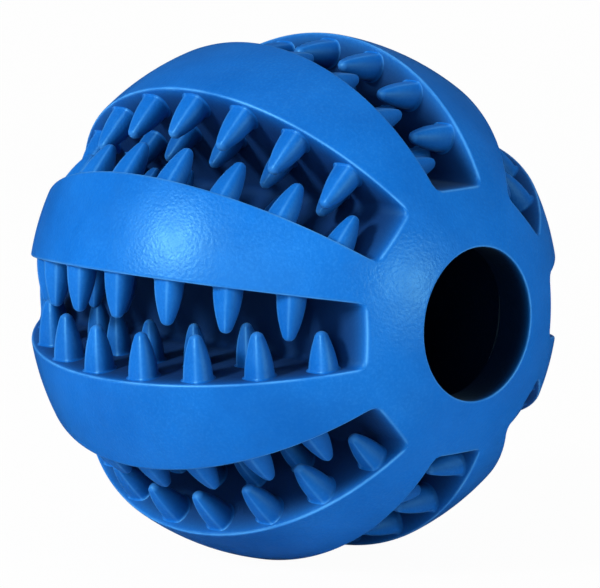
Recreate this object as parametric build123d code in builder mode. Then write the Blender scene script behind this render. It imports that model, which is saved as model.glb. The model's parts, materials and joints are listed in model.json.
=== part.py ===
from build123d import *
from math import acos, cos, degrees, radians, sin, sqrt
import os

os.makedirs("parts", exist_ok=True)

# A moulded rubber ball that lets treats fall out of a round mouth as it rolls.
# Grooves lined with rubber teeth run from the mouth end to the rear end.
# The origin is the centre of the ball, +Z is up and the mouth faces -Y.
# Lengths are in millimetres and angles in degrees.

# Ball
ball_diameter = 70.0

# Mouth and treat chamber, both on the Y axis
mouth_diameter = 20.0
mouth_rim_radius = 0.3  # rounding of the mouth's outer edge
lip_length = 5.5  # straight wall of the mouth, with its rounded rim
shoulder_length = 3.0  # taper between the lip and the chamber
core_wall = 4.35  # rubber between a groove's floor and the chamber
rear_wall = 6.0  # rubber behind the chamber, on the axis
chamber_end_depth = 4.0  # how deep the chamber's rear end is dished

# Grooves
groove_count = 8
groove_floor_height = 17.35  # from the Y axis to the flat floor
groove_floor_width = 8.3
groove_mouth_width = 14.0  # across the groove at the surface of the ball

# Teeth on the groove walls
outer_tooth_length = 5.9
outer_tooth_diameter = 4.0  # at its root
outer_tip_radius = 0.95
inner_tooth_length = 5.5
inner_tooth_diameter = 3.3
inner_tip_radius = 0.8
tooth_tip_blend = 22.0  # angle at which the flank meets the round tip
tooth_root_depth = 0.9  # how far the root reaches into the rib
tooth_lean = 5.0  # how far a tooth leans outwards
tooth_floor_gap = 0.25  # least gap between a tooth and the groove's floor
full_tooth_room = 2.5  # height above that gap from which a tooth has its full length

# Rows of teeth. A pitch is the angle from tooth to tooth, about the centre of the ball.
outer_row_depth = 3.2  # from the surface of the ball to the axis of an outer tooth
left_row_spacing = 4.65  # from the outer row of the left wall to its inner row
right_row_spacing = 5.8  # the same on the right wall
outer_pitch = 14.75
left_inner_pitch = 17.4
right_inner_pitch = 16.0

# Wall, row, depth of the row, its pitch and its shift along the groove in pitches.
# The shifts put the teeth of one wall between those of the other, and each row
# runs as far towards the ends of the groove as the floor leaves room for a tooth.
tooth_rows = [
    ("left", "outer", outer_row_depth, outer_pitch, 0.0),
    ("left", "inner", outer_row_depth + left_row_spacing, left_inner_pitch, 0.5),
    ("right", "outer", outer_row_depth, outer_pitch, 0.5),
    ("right", "inner", outer_row_depth + right_row_spacing, right_inner_pitch, 0.0),
]
wall_side = {"left": 1, "right": -1}

# Length, root radius and tip radius of a row's teeth
tooth_sizes = {
    "outer": (outer_tooth_length, outer_tooth_diameter / 2, outer_tip_radius),
    "inner": (inner_tooth_length, inner_tooth_diameter / 2, inner_tip_radius),
}

# Sizes that follow from the ones above
ball_radius = ball_diameter / 2
mouth_radius = mouth_diameter / 2
chamber_radius = groove_floor_height - core_wall
lip_end = sqrt(ball_radius**2 - mouth_radius**2) - lip_length
collar_face = lip_end - shoulder_length  # where the collar meets the core tube
rear_face = ball_radius - rear_wall - chamber_end_depth  # where the rear cap meets it
groove_step = 360 / groove_count
floor_half = groove_floor_width / 2
groove_half = groove_mouth_width / 2
groove_edge_height = sqrt(ball_radius**2 - groove_half**2)
wall_slope = (groove_half - floor_half) / (groove_edge_height - groove_floor_height)

rear_direction = Vector(0, 1, 0)


def cross_plane(turn, y=0.0):
    """A plane square to the Y axis whose local X points out at this turn from +Z."""
    outward = Vector(sin(radians(turn)), 0, cos(radians(turn)))
    return Plane(origin=(0, y, 0), x_dir=outward, z_dir=rear_direction)


def core_outline():
    """The core's cross section: a flat for each groove floor and one for each rib."""
    corners = []
    for groove in range(groove_count):
        for side in (-floor_half, floor_half):
            corner = Vector(groove_floor_height, side)
            corners.append(corner.rotate(Axis.Z, groove * groove_step))
    Polygon(*corners, align=None)


def trim_to_ball():
    """Keep what lies inside the ball, with the sphere's poles on the Y axis."""
    Sphere(radius=ball_radius, rotation=(90, 0, 0), mode=Mode.INTERSECT)


# Collar around the treat mouth, with the straight lip and the taper behind it
with BuildPart() as mouth_collar:
    with BuildSketch(cross_plane(0, -ball_radius)):
        core_outline()
    extrude(amount=ball_radius - collar_face)
    trim_to_ball()
    with BuildSketch(Plane.XY):
        with BuildLine():
            Polyline(
                (0, -ball_radius),
                (mouth_radius, -ball_radius),
                (mouth_radius, -lip_end),
                (chamber_radius, -collar_face),
                (0, -collar_face),
                close=True,
            )
        make_face()
    revolve(axis=Axis.Y, mode=Mode.SUBTRACT)
    rim = mouth_collar.edges().filter_by(GeomType.CIRCLE).sort_by(Axis.Y)[0]
    fillet(rim, radius=mouth_rim_radius)
mouth_collar.part.label = "mouth_collar"
export_step(mouth_collar.part, "parts/mouth_collar.step")

# Core tube around the treat chamber, which carries the groove floors and the ribs
with BuildPart() as core_tube:
    with BuildSketch(cross_plane(0, -collar_face)):
        core_outline()
        Circle(chamber_radius, mode=Mode.SUBTRACT)
    extrude(amount=collar_face + rear_face)
core_tube.part.label = "core_tube"
export_step(core_tube.part, "parts/core_tube.step")

# Rear cap, which closes the chamber with a dished end
dish_radius = (chamber_radius**2 + chamber_end_depth**2) / (2 * chamber_end_depth)
dish_centre = rear_face + chamber_end_depth - dish_radius
with BuildPart() as rear_cap:
    with BuildSketch(cross_plane(0, rear_face)):
        core_outline()
    extrude(amount=ball_radius - rear_face)
    trim_to_ball()
    with Locations((0, dish_centre, 0)):
        Sphere(radius=dish_radius, rotation=(90, 0, 0), mode=Mode.SUBTRACT)
rear_cap.part.label = "rear_cap"
export_step(rear_cap.part, "parts/rear_cap.step")

# Ribs between the grooves. A rib stands on a flat of the core and its two sides are groove walls.
# A groove's corner is turned by half a step, into the rib's own frame, to outline the rib.
rib_seat = Vector(groove_floor_height, floor_half).rotate(Axis.Z, -groove_step / 2)
rib_edge = Vector(groove_edge_height, groove_half).rotate(Axis.Z, -groove_step / 2)
rib_flare = (rib_seat.Y - rib_edge.Y) / (rib_edge.X - rib_seat.X)
rib_reach = ball_diameter  # past the surface of the ball, which then trims the rib
rib_reach_half = (rib_reach - rib_seat.X) * rib_flare - rib_seat.Y

for number in range(1, groove_count + 1):
    name = f"rib_{number}"
    with BuildPart() as rib:
        with BuildSketch(cross_plane((number - 0.5) * groove_step)):
            with BuildLine():
                Polyline(
                    (rib_seat.X, rib_seat.Y),
                    (rib_reach, -rib_reach_half),
                    (rib_reach, rib_reach_half),
                    (rib_seat.X, -rib_seat.Y),
                    close=True,
                )
            make_face()
        extrude(amount=rib_reach, both=True)
        trim_to_ball()
    rib.part.label = name
    export_step(rib.part, f"parts/{name}.step")


def wall_half_at(height):
    """Half the width of a groove at this distance from the Y axis."""
    return floor_half + (height - groove_floor_height) * wall_slope


def row_latitudes(row_radius, base_radius, pitch, shift):
    """Where the teeth of a row stand, as angles from the middle of the groove."""
    least_height = groove_floor_height + tooth_floor_gap + base_radius
    last = degrees(acos(least_height / row_radius))
    reach = int(last / pitch) + 1
    places = [(place + shift) * pitch for place in range(-reach, reach + 1)]
    return [latitude for latitude in places if abs(latitude) <= last]


def length_share_at(height):
    """A tooth's length as a share of the full one, which is less where it stands close to the floor."""
    room = height - groove_floor_height - tooth_floor_gap
    return min(1, room / full_tooth_room)


# Rows of teeth. Left and right are as seen from outside with the mouth at the top.
# A tooth is revolved from half of its outline: a round tip and a curved flank that
# ends in the rib. The groove's wall then trims the whole row.
lean = radians(tooth_lean)
blend = radians(tooth_tip_blend)

for number in range(1, groove_count + 1):
    groove = cross_plane((number - 1) * groove_step)
    for wall, row, depth, pitch, shift in tooth_rows:
        name = f"groove_{number}_{wall}_{row}_teeth"
        side = wall_side[wall]
        row_radius = ball_radius - depth
        full_length, base_radius, tip_radius = tooth_sizes[row]
        axis = groove.x_dir * sin(lean) - groove.y_dir * (side * cos(lean))
        wall_foot = groove.from_local_coords((groove_floor_height, side * floor_half, 0))
        into_groove = groove.x_dir * wall_slope - groove.y_dir * side
        with BuildPart() as teeth:
            for latitude in row_latitudes(row_radius, base_radius, pitch, shift):
                height = row_radius * cos(radians(latitude))
                along = row_radius * sin(radians(latitude))
                base = groove.from_local_coords((height, side * wall_half_at(height), along))
                length = full_length * length_share_at(height)
                tip_centre = length - tip_radius
                flank_top = (tip_radius * cos(blend), tip_centre + tip_radius * sin(blend))
                root = (base_radius, -tooth_root_depth)
                with BuildSketch(Plane(base, x_dir=rear_direction, z_dir=rear_direction.cross(axis))):
                    with BuildLine():
                        CenterArc((0, tip_centre), tip_radius, tooth_tip_blend, 90 - tooth_tip_blend)
                        TangentArc(flank_top, root, tangent=(sin(blend), -cos(blend)))
                        Polyline(root, (0, -tooth_root_depth), (0, length))
                    make_face()
                revolve(axis=Axis(base, axis))
            split(bisect_by=Plane(wall_foot, x_dir=rear_direction, z_dir=into_groove))
        teeth.part.label = name
        export_step(teeth.part, f"parts/{name}.step")
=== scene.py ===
import json
from math import acos, asin, atan, cos, radians, sin, sqrt, tan

import bpy
import numpy as np
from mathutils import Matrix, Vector


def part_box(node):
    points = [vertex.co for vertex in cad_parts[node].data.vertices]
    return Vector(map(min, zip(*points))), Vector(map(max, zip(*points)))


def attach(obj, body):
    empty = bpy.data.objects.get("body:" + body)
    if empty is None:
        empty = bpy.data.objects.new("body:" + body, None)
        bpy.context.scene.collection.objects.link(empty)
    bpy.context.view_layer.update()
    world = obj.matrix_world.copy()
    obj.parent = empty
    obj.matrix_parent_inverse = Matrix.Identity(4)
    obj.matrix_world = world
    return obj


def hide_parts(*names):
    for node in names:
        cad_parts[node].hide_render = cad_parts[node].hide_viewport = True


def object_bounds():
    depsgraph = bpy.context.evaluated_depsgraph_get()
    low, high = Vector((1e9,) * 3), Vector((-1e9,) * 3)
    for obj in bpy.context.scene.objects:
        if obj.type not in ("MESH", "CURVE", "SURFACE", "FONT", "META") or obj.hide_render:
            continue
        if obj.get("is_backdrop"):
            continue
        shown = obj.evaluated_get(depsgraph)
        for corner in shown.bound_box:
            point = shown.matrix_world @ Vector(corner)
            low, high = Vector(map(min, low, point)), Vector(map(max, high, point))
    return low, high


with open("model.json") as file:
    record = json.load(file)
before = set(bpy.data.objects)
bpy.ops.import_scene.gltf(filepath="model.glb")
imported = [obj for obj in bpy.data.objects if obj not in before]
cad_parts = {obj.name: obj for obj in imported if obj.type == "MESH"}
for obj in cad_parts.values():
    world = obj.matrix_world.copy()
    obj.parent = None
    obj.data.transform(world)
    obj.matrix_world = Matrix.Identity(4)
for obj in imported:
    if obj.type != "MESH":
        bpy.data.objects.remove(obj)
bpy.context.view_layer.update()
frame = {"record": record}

# A treat ball moulded in blue rubber: ribs and grooves around a hollow core, with teeth in the grooves.
# Lengths are in millimetres until a mesh is made. The ball's axis is Y and its mouth faces -Y.
MM = 0.001

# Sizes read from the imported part
record = frame["record"]
treat_mouth = next(mount for mount in record["mounts"] if mount["name"] == "treat_mouth")
mouth_radius = treat_mouth["dims"]["r_mm"]
ball_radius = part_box("rear_cap")[1].y / MM
floor_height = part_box("core_tube")[1].z / MM
front_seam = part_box("core_tube")[0].y / MM
rear_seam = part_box("core_tube")[1].y / MM

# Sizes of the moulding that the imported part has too
GROOVE_COUNT = 8
FLOOR_HALF = 4.15  # half of a groove's width at its floor
GROOVE_HALF = 7.0  # and at the surface of the ball
CORE_WALL = 4.35  # rubber between a groove's floor and the chamber
LIP_LENGTH = 5.5  # straight wall of the mouth
DISH_DEPTH = 4.0  # dished rear end of the chamber
RIM_RADIUS = 0.3  # rounding of the mouth's edge

# Rounding that the mould leaves on the rest
EDGE_RADIUS = 0.35  # edges of the grooves
FLOOR_FILLET = 1.0  # corners along a groove's floor

# Painted shade: where it starts below the ball's surface, and over what depth it deepens
BORE_SHADE = (0.05, 0.4)
GROOVE_SHADE = (0.1, 1.1)
TOOTH_SHADE = (1.0, 15.0)

# Teeth: wall, row, depth of the row below the ball's surface,
# its pitch about the centre of the ball in degrees, and its shift in pitches
TOOTH_ROWS = [
    ("left", "outer", 3.2, 14.75, 0.0),
    ("left", "inner", 7.85, 17.4, 0.5),
    ("right", "outer", 3.2, 14.75, 0.5),
    ("right", "inner", 9.0, 16.0, 0.0),
]
WALL_SIDE = {"left": 1, "right": -1}
TOOTH_SIZES = {"outer": (5.9, 2.0, 0.95), "inner": (5.5, 1.65, 0.8)}  # length, foot and tip radius
TOOTH_LEAN = radians(5)  # how far a tooth leans outwards
TIP_BLEND = radians(22)  # where the flank meets the round tip
FLOOR_GAP = 0.25  # least gap between a tooth and the floor
FULL_TOOTH_ROOM = 2.5  # height above that gap from which a tooth has its full length
ROOT_FILLET = 0.3  # flare of a tooth's foot on the wall
ROOT_DEPTH = 0.4  # how far the root is sunk in the wall
ROOT_SKIRT = (0.05, 0.15)  # depth and extra radius of the skirt that hides the foot's edge in the wall
RIDGE_TURN = radians(33.75)  # ridges on both sides of the flat face that a tooth turns outwards
RIDGE_SOFTNESS = 0.1  # of those ridges, as a share of the radius
RIDGE_WEAR = 0.3  # how worn the ridges are
TIP_WEAR = 0.4  # and the tips
SIDE_SHADE = 0.5  # how dark the painted shade makes a tooth on the sides that it turns away from the ball's surface

# Mesh resolution
END_ROWS = 9
MIDDLE_ROWS = 44
FLOOR_COLUMNS = 16
TOP_COLUMNS = 20
WALL_COLUMNS = 22
DOME_RINGS = 18
BORE_RINGS = 10
DISH_RINGS = 10
TIP_RINGS = 6
FLANK_RINGS = 8
FLARE_RINGS = 4
ARC_STEPS = 60  # along the arc that the flank is read from
TOOTH_SEGMENTS = 32
CROWDING = 0.9  # how much steps crowd at the ends of a stretch
SETTLE_STEPS = 12  # moves that bring a point onto the rounded skin
PROBE = 1e-4  # step for the slope of the distance
ON_SKIN = 1e-3  # a point this close to the skin lies on it
WELD = 1e-4  # points this close are one

# Sizes that follow from the ones above
groove_step = 2 * np.pi / GROOVE_COUNT
half_step = groove_step / 2
chamber_radius = floor_height - CORE_WALL
edge_height = sqrt(ball_radius**2 - GROOVE_HALF**2)
wall_slope = (GROOVE_HALF - FLOOR_HALF) / (edge_height - floor_height)
wall_tilt = atan(wall_slope)
mouth_face = -sqrt(ball_radius**2 - mouth_radius**2)
seat_height = floor_height * cos(half_step) + FLOOR_HALF * sin(half_step)
seat_half = floor_height * sin(half_step) - FLOOR_HALF * cos(half_step)
rib_flare = tan(half_step - wall_tilt)
corner_reach = sqrt(ball_radius**2 - floor_height**2 - FLOOR_HALF**2)
tooth_turns = np.linspace(0, 2 * np.pi, TOOTH_SEGMENTS, endpoint=False)


# The moulding as a distance

def round_max(first, second, radius):
    """The larger of two distances, with a fillet of this radius where they cross."""
    beyond = np.hypot(np.maximum(first + radius, 0), np.maximum(second + radius, 0))
    return np.minimum(np.maximum(first, second), -radius) + beyond


def skin_distance(points, rounding=1.0):
    """How far points lie outside the moulding, without its teeth. Negative is in the rubber."""
    x, y, z = points.T
    around = np.hypot(x, z)
    turn = np.arctan2(x, z)
    turn = turn - groove_step * np.round(turn / groove_step)
    height = around * np.cos(turn)
    across = np.abs(around * np.sin(turn))
    wall = (across - FLOOR_HALF - (height - floor_height) * wall_slope) * cos(wall_tilt)
    groove = round_max(floor_height - height, wall, FLOOR_FILLET * rounding)
    ball = np.linalg.norm(points, axis=1) - ball_radius
    outside = round_max(ball, -groove, EDGE_RADIUS * rounding)
    return round_max(outside, np.minimum(mouth_radius - around, -y), RIM_RADIUS * rounding)


def skin_normals(points):
    """Unit normals of the moulding's skin, from the slope of the distance."""
    slopes = [skin_distance(points + step) - skin_distance(points - step) for step in np.eye(3) * PROBE]
    slopes = np.stack(slopes, axis=1)
    return slopes / np.linalg.norm(slopes, axis=1, keepdims=True)


def settle(points):
    """Moves points of the sharp shape onto the rounded skin."""
    flat = points.reshape(-1, 3)
    for _ in range(SETTLE_STEPS):
        flat = flat - skin_normals(flat) * skin_distance(flat)[:, None]
    return flat.reshape(points.shape)


# Grids of points

def eased(count):
    """Steps from 0 to 1 that crowd together at both ends."""
    steps = np.linspace(0, 1, count + 1)
    return steps - CROWDING * np.sin(2 * np.pi * steps) / (2 * np.pi)


def crowded_start(count):
    """Steps from 0 to 1 that crowd together at 0."""
    return np.linspace(0, 1, count + 1) ** 2


def grid(x, y, z):
    """Points from coordinates that are arrays or single numbers."""
    return np.stack(np.broadcast_arrays(x, y, z), axis=-1)


def turned(points, turn):
    """Points turned about the Y axis, from +Z towards +X."""
    x, y, z = np.moveaxis(points, -1, 0)
    return grid(x * cos(turn) + z * sin(turn), y, z * cos(turn) - x * sin(turn))


end_steps = 1 - crowded_start(END_ROWS)[::-1]
middle_places = np.linspace(front_seam, rear_seam, MIDDLE_ROWS + 1)[1:-1]
front_row = END_ROWS
rear_row = END_ROWS + MIDDLE_ROWS


def row_places(reach):
    """Y of every row, front to rear, for columns that end this far along the ball."""
    front = front_seam - np.outer(end_steps[::-1], reach + front_seam)
    middle = np.outer(middle_places, np.ones_like(reach))
    rear = rear_seam + np.outer(end_steps, reach - rear_seam)
    return np.concatenate([front, middle, rear])


def floor_block():
    """The floor of groove 1, from its right corner to its left one."""
    across = FLOOR_HALF * (2 * eased(FLOOR_COLUMNS) - 1)
    reach = np.sqrt(ball_radius**2 - floor_height**2 - across**2)
    return grid(across, row_places(reach), floor_height)


def seat_block():
    """The flat that a rib stands on, in the rib's own frame."""
    across = seat_half * (2 * eased(TOP_COLUMNS) - 1)
    reach = np.sqrt(ball_radius**2 - seat_height**2 - across**2)
    return grid(across, row_places(reach), seat_height)


def wall_rise(y):
    """How far a rib's side rises from its seat before it meets the ball's surface."""
    slant = 1 + rib_flare**2
    half_linear = seat_half * rib_flare + seat_height
    constant = seat_half**2 + seat_height**2 + y**2 - ball_radius**2
    rise = (np.sqrt(half_linear**2 - slant * constant) - half_linear) / slant
    return np.maximum(rise, 0)


def wall_block(side):
    """A side of a rib, from its seat to its edge."""
    share = eased(WALL_COLUMNS)
    y = row_places(np.full_like(share, corner_reach))
    up = wall_rise(y) * share
    return grid(side * (seat_half + up * rib_flare), y, seat_height + up)


def top_block():
    """The outer face of a rib, from edge to edge. Its ends lie on the ends of the seat."""
    share = 2 * eased(TOP_COLUMNS) - 1
    y = row_places(np.sqrt(ball_radius**2 - seat_height**2 - (share * seat_half) ** 2))
    across = share * (seat_half + wall_rise(y) * rib_flare)
    return grid(across, y, np.sqrt(ball_radius**2 - y**2 - across**2))


def grid_quads(rows, columns, close_rows=False):
    """Faces of a grid whose columns close into a loop, and whose rows may too."""
    row = np.arange(rows if close_rows else rows - 1)[:, None]
    column = np.arange(columns)[None, :]
    next_row = (row + 1) % rows
    next_column = (column + 1) % columns
    corners = [
        row * columns + column,
        row * columns + next_column,
        next_row * columns + next_column,
        next_row * columns + column,
    ]
    return np.stack(np.broadcast_arrays(*corners), axis=-1).reshape(-1, 4)


# Meshes

def facing_out(points, quads):
    """The faces of a closed shape, turned so that they face outwards."""
    first, second, third, fourth = (points[quads[:, corner]] for corner in range(4))
    areas = np.cross(third - first, fourth - second)
    volume = np.sum((first + second + third + fourth) * areas)
    return quads if volume > 0 else quads[:, ::-1]


def weld(points, quads):
    """Joins points that coincide, and drops the faces that this closes up."""
    places = np.round(points / WELD).astype(np.int64)
    _, kept, joined = np.unique(places, axis=0, return_index=True, return_inverse=True)
    faces = [list(dict.fromkeys(quad)) for quad in joined.reshape(-1)[quads].tolist()]
    return points[kept], [face for face in faces if len(face) > 2], kept


def add_amounts(mesh, name, amounts):
    """Stores a number for each point, for the material."""
    attribute = mesh.attributes.new(name, "FLOAT", "POINT")
    attribute.data.foreach_set("value", np.asarray(amounts, dtype=np.float32))


def shade_amounts(points, start, fade):
    """How much painted shade the depth gives each point, from 0 at the ball's surface towards 1."""
    depth = ball_radius - np.linalg.norm(points, axis=1)
    return 1 - np.exp(-np.maximum(depth - start, 0) / fade)


def in_core(points):
    """Whether points lie in the mouth or on the wall of the chamber."""
    return np.hypot(points[:, 0], points[:, 2]) < chamber_radius + ON_SKIN


def add_object(name, data):
    """A new object in the scene."""
    made = bpy.data.objects.new(name, data)
    bpy.context.scene.collection.objects.link(made)
    return made


def make_piece(node, points, quads, material):
    """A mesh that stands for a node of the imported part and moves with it."""
    points, faces, kept = weld(points, facing_out(points, quads))
    mesh = bpy.data.meshes.new(f"{node}_rubber")
    mesh.from_pydata((points * MM).tolist(), [], faces)
    mesh.polygons.foreach_set("use_smooth", [True] * len(faces))
    mesh.materials.append(material)
    piece = add_object(f"{node}_rubber", mesh)
    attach(piece, "root")
    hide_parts(node)
    return mesh, points, kept


def make_skin_piece(node, points, quads, material):
    """A region of the moulding. Its skin is shaded by the skin's own normals, so no seam shows."""
    mesh, points, _ = make_piece(node, points.reshape(-1, 3), quads, material)
    on_skin = np.abs(skin_distance(points)) < ON_SKIN
    normals = skin_normals(points)
    loop_normals = []
    for face in mesh.polygons:
        corners = list(face.vertices)
        smooth = on_skin[corners].all()
        loop_normals.extend(normals[corners].tolist() if smooth else [face.normal[:]] * len(corners))
    mesh.normals_split_custom_set(loop_normals)
    rounded_off = EDGE_RADIUS * (sqrt(2) - 1)  # how deep the rounding cuts into a square edge
    wear = np.clip(-skin_distance(points, rounding=0) / rounded_off, 0, 1)
    add_amounts(mesh, "wear", wear * on_skin)
    # Painted shade: darker with depth in the grooves, and near black in the mouth and on the chamber's
    # wall
    add_amounts(mesh, "painted_shade", np.where(in_core(points), 0, shade_amounts(points, *GROOVE_SHADE)))
    add_amounts(mesh, "bore", np.where(in_core(points), shade_amounts(points, *BORE_SHADE), 0))


# Core: the collar around the mouth, the tube around the chamber and the rear cap

def core_rings():
    """Rings around the core, over groove floors and rib seats, front to rear: sharp and settled."""
    floor = floor_block()[:, :-1]
    seat = turned(seat_block(), half_step)[:, :-1]
    sharp = np.concatenate([floor, seat], axis=1)
    shows = np.zeros(sharp.shape[:2], dtype=bool)
    shows[:, : floor.shape[1] + 1] = True
    shows[[0, -1]] = True
    settled = np.where(shows[..., None], settle(sharp), sharp)
    turns = [number * groove_step for number in range(GROOVE_COUNT)]
    return [
        np.concatenate([turned(rings, turn) for turn in turns], axis=1)
        for rings in (sharp, settled)
    ]


def dome_rings(outline, end, last_angle, steps):
    """Rings over an end of the ball, from an outline to an angle from that end's pole."""
    x, y, z = outline.T
    turn = np.arctan2(x, z)
    start = np.arctan2(np.hypot(x, z), end * y)
    angle = start + np.outer(steps, last_angle - start)
    around = ball_radius * np.sin(angle)
    return grid(around * np.sin(turn), end * ball_radius * np.cos(angle), around * np.cos(turn))


def round_ring(outline, radius, y):
    """A circle around the axis whose points face those of an outline."""
    turn = np.arctan2(outline[:, 0], outline[:, 2])
    return grid(radius * np.sin(turn), y, radius * np.cos(turn))


def make_core(material):
    """The three regions of the core, which meet face to face at the seams."""
    sharp, settled = core_rings()
    columns = settled.shape[1]
    front, rear = sharp[0], sharp[-1]

    dome = dome_rings(front, -1, asin(mouth_radius / ball_radius), eased(DOME_RINGS)[1:])
    bore_places = mouth_face + LIP_LENGTH * crowded_start(BORE_RINGS)[1:]
    bore = np.stack([round_ring(front, mouth_radius, y) for y in bore_places])
    shoulder_end = round_ring(front, chamber_radius, front_seam)
    chamber_end = round_ring(front, chamber_radius, rear_seam)
    collar = np.concatenate([settled[front_row::-1], settle(dome), settle(bore), shoulder_end[None]])
    quads = grid_quads(len(collar), columns, close_rows=True)
    make_skin_piece("mouth_collar", collar, quads, material)

    tube = np.concatenate([settled[front_row : rear_row + 1], chamber_end[None], shoulder_end[None]])
    quads = grid_quads(len(tube), columns, close_rows=True)
    make_skin_piece("core_tube", tube, quads, material)

    dome = dome_rings(rear, 1, 0, crowded_start(DOME_RINGS)[1:])
    dish_radius = (chamber_radius**2 + DISH_DEPTH**2) / (2 * DISH_DEPTH)
    dish_centre = rear_seam + DISH_DEPTH - dish_radius
    dish_angles = np.linspace(0, asin(chamber_radius / dish_radius), DISH_RINGS + 1)
    dish = [
        round_ring(rear, dish_radius * sin(angle), dish_centre + dish_radius * cos(angle))
        for angle in dish_angles
    ]
    cap = np.concatenate([np.stack(dish), settled[rear_row:], settle(dome)])
    make_skin_piece("rear_cap", cap, grid_quads(len(cap), columns), material)


# Ribs between the grooves

def make_ribs(material):
    """Each rib is a loop of columns: one side, the outer face, the other side and the seat."""
    sides = [wall_block(-1)[:, :-1], top_block()[:, :-1], wall_block(1)[:, :0:-1]]
    skin = settle(turned(np.concatenate(sides, axis=1), half_step))
    seat = turned(seat_block(), half_step)[:, :0:-1]
    shows = np.zeros(seat.shape[:2], dtype=bool)
    shows[:, 0] = True
    shows[[0, -1]] = True
    seat = np.where(shows[..., None], settle(seat), seat)
    rib = np.concatenate([skin, seat], axis=1)
    quads = grid_quads(*rib.shape[:2])
    for number in range(GROOVE_COUNT):
        make_skin_piece(f"rib_{number + 1}", turned(rib, number * groove_step), quads, material)


# Teeth

def tooth_outline(length, foot_radius, tip_radius):
    """Places along a tooth and the radius there, from the tip to the root."""
    tip_turns = np.linspace(np.pi / 2, TIP_BLEND, TIP_RINGS + 1)
    tip_places = length - tip_radius + tip_radius * np.sin(tip_turns)
    tip_radii = tip_radius * np.cos(tip_turns)

    # The flank is an arc that leaves the tip at the blend angle and ends at the foot
    leaving = np.array([sin(TIP_BLEND), -cos(TIP_BLEND)])
    outwards = np.array([cos(TIP_BLEND), sin(TIP_BLEND)])
    chord = np.array([foot_radius - tip_radii[-1], -tip_places[-1]])
    half_turn = np.arctan2(chord @ outwards, chord @ leaving)
    arc_radius = np.linalg.norm(chord) / (2 * sin(half_turn))
    turns = 2 * half_turn * np.linspace(0, 1, ARC_STEPS)
    arc = arc_radius * (np.outer(np.sin(turns), leaving) + np.outer(1 - np.cos(turns), outwards))
    arc_radii, arc_places = arc.T + np.array([[tip_radii[-1]], [tip_places[-1]]])

    flank_places = np.linspace(tip_places[-1], ROOT_FILLET, FLANK_RINGS + 1)[1:]
    flare_turns = np.linspace(0, np.pi / 2, FLARE_RINGS + 1)[1:]
    flare_places = ROOT_FILLET * (1 - np.sin(flare_turns))
    low_places = np.concatenate([flank_places, flare_places])
    low_radii = np.interp(low_places, arc_places[::-1], arc_radii[::-1])
    low_radii[len(flank_places) :] += ROOT_FILLET * (1 - np.cos(flare_turns))
    foot = low_radii[-1]
    skirt_depth, skirt = ROOT_SKIRT
    sunk_places = [-skirt_depth, -ROOT_DEPTH, -ROOT_DEPTH]
    sunk_radii = [foot + skirt, foot, 0]
    places = np.concatenate([tip_places, low_places, sunk_places])
    return places, np.concatenate([tip_radii, low_radii, sunk_radii])


def tooth(side, row, height, along):
    """Rings of a tooth on a wall of groove 1, from tip to root. Close to the floor it is shorter."""
    half = FLOOR_HALF + (height - floor_height) * wall_slope
    full_length, foot_radius, tip_radius = TOOTH_SIZES[row]
    length = full_length * min(1, (height - floor_height - FLOOR_GAP) / FULL_TOOTH_ROOM)
    places, radii = (values[:, None] for values in tooth_outline(length, foot_radius, tip_radius))
    out = radii * np.cos(tooth_turns)
    softness = np.maximum(RIDGE_SOFTNESS * radii, WELD)
    out = out - softness * np.logaddexp(0, (out - cos(RIDGE_TURN) * radii) / softness)
    sideways = radii * np.sin(tooth_turns)
    # The foot follows the wall, which isn't square to the tooth, and the tip doesn't
    rise = places - out * tan(wall_tilt - TOOTH_LEAN) * np.clip(1 - places / length, 0, 1)
    axis = np.array([-side * cos(TOOTH_LEAN), 0, sin(TOOTH_LEAN)])
    outward = np.array([side * sin(TOOTH_LEAN), 0, cos(TOOTH_LEAN)])
    base = np.array([side * half, along, height])
    points = base + rise[..., None] * axis + out[..., None] * outward
    return points + sideways[..., None] * np.array([0, 1, 0])


def tooth_wear(rings):
    """How worn each point of a tooth with this many rings is: its two ridges and its tip."""
    from_ridge = np.abs(np.abs(np.pi - tooth_turns) - (np.pi - RIDGE_TURN))
    ridges = RIDGE_WEAR * np.clip(1 - from_ridge / (tooth_turns[1] - tooth_turns[0]), 0, 1)
    tip = TIP_WEAR * np.clip(1 - np.arange(rings) / TIP_RINGS, 0, 1)
    return np.maximum(ridges, tip[:, None])


def tooth_side_shade(rings):
    """How much painted shade the side that it is on gives each point: none on the flat face and at the
    tip.
    """
    from_face = np.minimum(tooth_turns, 2 * np.pi - tooth_turns)
    turned_away = np.clip((from_face - RIDGE_TURN) / (np.pi / 2 - RIDGE_TURN), 0, 1)
    from_tip = np.clip(np.arange(rings) / TIP_RINGS, 0, 1)
    return SIDE_SHADE * np.outer(from_tip, turned_away)


def row_latitudes(row_radius, foot_radius, pitch, shift):
    """Where the teeth of a row stand, as angles from the middle of the groove."""
    last = acos((floor_height + FLOOR_GAP + foot_radius) / row_radius)
    reach = int(last / pitch) + 1
    places = [(place + shift) * pitch for place in range(-reach, reach + 1)]
    return [latitude for latitude in places if abs(latitude) <= last]


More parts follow.
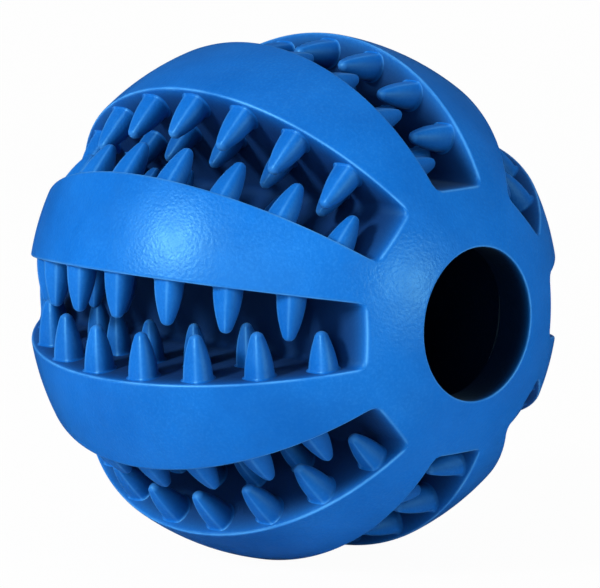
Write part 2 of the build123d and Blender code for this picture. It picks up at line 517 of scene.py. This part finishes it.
def make_teeth(material):
    """The rows of teeth on both walls of every groove."""
    for wall, row, depth, pitch, shift in TOOTH_ROWS:
        row_radius = ball_radius - depth
        foot_radius = TOOTH_SIZES[row][1]
        teeth = [
            tooth(WALL_SIDE[wall], row, row_radius * cos(latitude), row_radius * sin(latitude))
            for latitude in row_latitudes(row_radius, foot_radius, radians(pitch), shift)
        ]
        rings, segments = teeth[0].shape[:2]
        wear = np.tile(tooth_wear(rings).reshape(-1), len(teeth))
        side_shade = np.tile(tooth_side_shade(rings).reshape(-1), len(teeth))
        quads = grid_quads(rings, segments)
        all_quads = np.concatenate([quads + number * rings * segments for number in range(len(teeth))])
        all_points = np.concatenate([points.reshape(-1, 3) for points in teeth])
        for number in range(GROOVE_COUNT):
            node = f"groove_{number + 1}_{wall}_{row}_teeth"
            points = turned(all_points, number * groove_step)
            mesh, places, kept = make_piece(node, points, all_quads, material)
            add_amounts(mesh, "wear", wear[kept])
            # Painted shade on the teeth: darker with depth and on the sides that turn away from the
            # ball's surface
            left_light = (1 - shade_amounts(places, *TOOTH_SHADE)) * (1 - side_shade[kept])
            add_amounts(mesh, "painted_shade", 1 - left_light)


# Materials

WHITE = (1, 1, 1, 1)
DEEP_BLUE = (0.002, 0.116, 0.49, 1)
MID_BLUE = (0.004, 0.158, 0.62, 1)
# Painted shade: the blue that depth and turned-away sides fade to, and the near black of the mouth
PAINTED_SHADE_BLUE = (0.0003, 0.017, 0.115, 1)
PAINTED_MOUTH_SHADE_BLUE = (0.0003, 0.004, 0.02, 1)
WORN_BLUE = (0.10, 0.42, 0.9, 1)
STIPPLE_BLUE = (0.05, 0.36, 0.88, 1)
GLOSS_TINT = (0.28, 0.84, 1, 1)
SHEEN_TINT = (0.35, 0.65, 1, 1)
FLOOR_GREY = (0.8, 0.8, 0.8, 1)
FLOOR_WHITE = 0.97  # share of plain white in the floor that the camera sees

# Noises in the rubber: waves per metre, detail and roughness
TONE_NOISE = (70, 4, 0.6)
BLOTCH_NOISE = (190, 3, 0.5)
LUMP_NOISE = (420, 2, 0.5)
PEBBLE_NOISE = (2400, 1, 0.5)
STIPPLE_NOISE = (2600, 2, 0.5)
PATCH_NOISE = (60, 2, 0.5)

# Stretches of a value, and the stretches that they stand for
TONE_RANGE = (0.3, 0.7, 0, 1)  # of the tone, from the deep blue to the mid blue
STIPPLE_RANGE = (0.45, 0.75, 0, 0.16)  # strength of the stipple
PATCH_RANGE = (0.35, 0.65, 0.4, 1)  # share of it that a patch has
WEAR_RANGE = (0.3, 0.6, 0.35, 1)  # share of the wear that a blotch has
GLOSS_RANGE = (0.3, 0.7, 0.31, 0.43)  # roughness of a blotch
DULL_RANGE = (0, 1, 0, 0.4)  # roughness that the painted shade adds

# Bumps: strength and height
LUMP_BUMP = (0.4, 0.07 * MM)
PEBBLE_BUMP = (0.8, 0.05 * MM)

# Sockets of a colour mix, by number because their names repeat
MIX_FACTOR = 0
MIX_FIRST = 6
MIX_SECOND = 7
MIX_RESULT = 2


def add_node(tree, kind, sockets=(), **settings):
    """Adds a shader node. A socket takes a number, a colour or another node's output."""
    node = tree.nodes.new(kind)
    for name, value in settings.items():
        setattr(node, name, value)
    for name, value in dict(sockets).items():
        if isinstance(value, bpy.types.NodeSocket):
            tree.links.new(value, node.inputs[name])
        else:
            node.inputs[name].default_value = value
    return node


def new_tree(name):
    """A new material, its empty node tree and the tree's output."""
    material = bpy.data.materials.new(name)
    material.use_nodes = True
    material.node_tree.nodes.clear()
    return material, material.node_tree, material.node_tree.nodes.new("ShaderNodeOutputMaterial")


def noise(tree, place, scale, detail, roughness):
    """A noise whose scale is in waves per metre."""
    sockets = {"Vector": place, "Scale": scale, "Detail": detail, "Roughness": roughness}
    return add_node(tree, "ShaderNodeTexNoise", sockets).outputs["Fac"]


def remap(tree, value, low, high, to_low, to_high):
    """Maps a stretch of a value onto another stretch, and holds it there."""
    sockets = {"Value": value, "From Min": low, "From Max": high, "To Min": to_low, "To Max": to_high}
    return add_node(tree, "ShaderNodeMapRange", sockets).outputs["Result"]


def mix_colour(tree, factor, first, second):
    """A colour between two others."""
    sockets = {MIX_FACTOR: factor, MIX_FIRST: first, MIX_SECOND: second}
    return add_node(tree, "ShaderNodeMix", sockets, data_type="RGBA").outputs[MIX_RESULT]


def combine(tree, operation, first, second):
    """The sum or product of two values."""
    return add_node(tree, "ShaderNodeMath", {0: first, 1: second}, operation=operation).outputs[0]


def amount(tree, name):
    """A number that is stored for each point."""
    return add_node(tree, "ShaderNodeAttribute", attribute_name=name).outputs["Fac"]


def bump(tree, height, strength, distance, **under):
    """The normals of a bumpy surface, on top of another bump's where one is given as Normal."""
    sockets = {"Height": height, "Strength": strength, "Distance": distance, **under}
    return add_node(tree, "ShaderNodeBump", sockets).outputs["Normal"]


def rubber_material():
    """Satin moulded rubber: a stippled blue, a blotchy gloss, worn edges, and painted shade that darkens
    the grooves, the teeth's sides and the mouth.
    """
    material, tree, output = new_tree("moulded_blue_rubber")
    place = tree.nodes.new("ShaderNodeTexCoord").outputs["Object"]
    tone = noise(tree, place, *TONE_NOISE)
    blotch = noise(tree, place, *BLOTCH_NOISE)
    lumps = noise(tree, place, *LUMP_NOISE)
    pebble = noise(tree, place, *PEBBLE_NOISE)
    painted_shade = amount(tree, "painted_shade")

    colour = mix_colour(tree, remap(tree, tone, *TONE_RANGE), DEEP_BLUE, MID_BLUE)
    stipple = remap(tree, noise(tree, place, *STIPPLE_NOISE), *STIPPLE_RANGE)
    patches = remap(tree, noise(tree, place, *PATCH_NOISE), *PATCH_RANGE)
    colour = mix_colour(tree, combine(tree, "MULTIPLY", stipple, patches), colour, STIPPLE_BLUE)
    # Painted shade, by depth and on the teeth's sides, and near black in the mouth
    colour = mix_colour(tree, painted_shade, colour, PAINTED_SHADE_BLUE)
    # Painted shade: near black inside the mouth and on the chamber's wall
    colour = mix_colour(tree, amount(tree, "bore"), colour, PAINTED_MOUTH_SHADE_BLUE)
    wear = combine(tree, "MULTIPLY", amount(tree, "wear"), remap(tree, blotch, *WEAR_RANGE))
    colour = mix_colour(tree, wear, colour, WORN_BLUE)

    gloss = remap(tree, blotch, *GLOSS_RANGE)
    roughness = combine(tree, "ADD", gloss, remap(tree, painted_shade, *DULL_RANGE))
    normals = bump(tree, pebble, *PEBBLE_BUMP, Normal=bump(tree, lumps, *LUMP_BUMP))
    shader = add_node(
        tree,
        "ShaderNodeBsdfPrincipled",
        {
            "Base Color": colour,
            "Roughness": roughness,
            "Normal": normals,
            "IOR": 1.5,
            "Specular IOR Level": 0.5,
            "Specular Tint": GLOSS_TINT,
            "Sheen Weight": 0.05,
            "Sheen Roughness": 0.4,
            "Sheen Tint": SHEEN_TINT,
        },
    )
    tree.links.new(shader.outputs[0], output.inputs["Surface"])
    return material


def floor_material():
    """A plain pale floor that looks white to the camera and keeps the ball's shadow."""
    material, tree, output = new_tree("pale_floor")
    pale = add_node(tree, "ShaderNodeBsdfDiffuse", {"Color": FLOOR_GREY})
    white = add_node(tree, "ShaderNodeEmission", {"Color": WHITE, "Strength": 1})
    seen = tree.nodes.new("ShaderNodeLightPath").outputs["Is Camera Ray"]
    share = combine(tree, "MULTIPLY", seen, FLOOR_WHITE)
    sockets = {0: share, 1: pale.outputs[0], 2: white.outputs[0]}
    mixed = add_node(tree, "ShaderNodeMixShader", sockets)
    tree.links.new(mixed.outputs[0], output.inputs["Surface"])
    return material


# Camera, lights and floor

CAMERA_TURN = radians(-45.4)
CAMERA_RISE = radians(9)
CAMERA_DISTANCE = 0.944  # metres
CAMERA_LENS = 429  # millimetres
CAMERA_SHIFT = (0.0117, 0.0027)  # shares of the picture's width
FLOOR_SIZE = 6.0  # metres
AMBIENT = 0.3  # strength of the soft light all round


def camera_axes():
    """Right, up and towards the camera."""
    towards = Vector(
        (sin(CAMERA_TURN) * cos(CAMERA_RISE), -cos(CAMERA_TURN) * cos(CAMERA_RISE), sin(CAMERA_RISE))
    )
    right = Vector((cos(CAMERA_TURN), sin(CAMERA_TURN), 0))
    return right, towards.cross(right), towards


def aim(thing, direction, distance):
    """Puts a camera or lamp this far out in a direction, and points it at the ball."""
    thing.location = direction.normalized() * distance
    thing.rotation_euler = direction.to_track_quat("Z", "Y").to_euler()


def make_camera():
    """A camera at the photograph's viewing angle."""
    data = bpy.data.cameras.new("photo_camera")
    data.lens = CAMERA_LENS
    data.shift_x, data.shift_y = CAMERA_SHIFT
    camera = add_object("photo_camera", data)
    aim(camera, camera_axes()[2], CAMERA_DISTANCE)
    bpy.context.scene.camera = camera


# Lamp, its direction as right, up and towards the camera, its distance and size in metres,
# its power in watts, and whether the rubber's gloss shows it
LAMPS = [
    ("left_softbox", (-0.763, 0.335, 0.552), 0.6, 0.12, 2.7, True),
    ("front_softbox", (-0.25, 0.1, 0.96), 0.9, 0.6, 1.9, True),
    ("right_softbox", (0.765, 0.072, 0.642), 0.7, 0.2, 2.0, True),
    ("overhead_softbox", (-0.1, 1.0, 0.1), 0.6, 0.5, 0.3, False),
    ("backdrop", (0.1, 0.3, -0.95), 0.7, 1.0, 2.5, False),
]


def make_lamps():
    """Square lamps that the camera doesn't see."""
    right, up, towards = camera_axes()
    for name, (to_right, to_up, to_camera), distance, size, power, in_gloss in LAMPS:
        data = bpy.data.lights.new(name, "AREA")
        data.size = size
        data.energy = power
        lamp = add_object(name, data)
        lamp.visible_camera = False
        lamp.visible_glossy = in_gloss
        aim(lamp, right * to_right + up * to_up + towards * to_camera, distance)


def make_world():
    """Soft light all round that the gloss doesn't show, and plain white to the camera."""
    world = bpy.data.worlds.new("studio")
    world.use_nodes = True
    tree = world.node_tree
    tree.nodes.clear()
    rays = tree.nodes.new("ShaderNodeLightPath").outputs
    soft = remap(tree, rays["Is Diffuse Ray"], 0, 1, 0, AMBIENT)
    strength = combine(tree, "ADD", soft, rays["Is Camera Ray"])
    background = add_node(tree, "ShaderNodeBackground", {"Color": WHITE, "Strength": strength})
    output = tree.nodes.new("ShaderNodeOutputWorld")
    tree.links.new(background.outputs[0], output.inputs["Surface"])
    bpy.context.scene.world = world


def make_floor(height):
    """A flat sheet at the height that the ball stands on."""
    half = FLOOR_SIZE / 2
    corners = [(-half, -half, height), (half, -half, height), (half, half, height), (-half, half, height)]
    mesh = bpy.data.meshes.new("studio_floor")
    mesh.from_pydata(corners, [], [(0, 1, 2, 3)])
    mesh.materials.append(floor_material())
    floor = add_object("studio_floor", mesh)
    floor.visible_glossy = False
    floor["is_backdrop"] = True


rubber = rubber_material()
make_core(rubber)
make_ribs(rubber)
make_teeth(rubber)
make_floor(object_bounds()[0].z)
make_camera()
make_lamps()
make_world()
bpy.context.scene.view_settings.view_transform = "Standard"
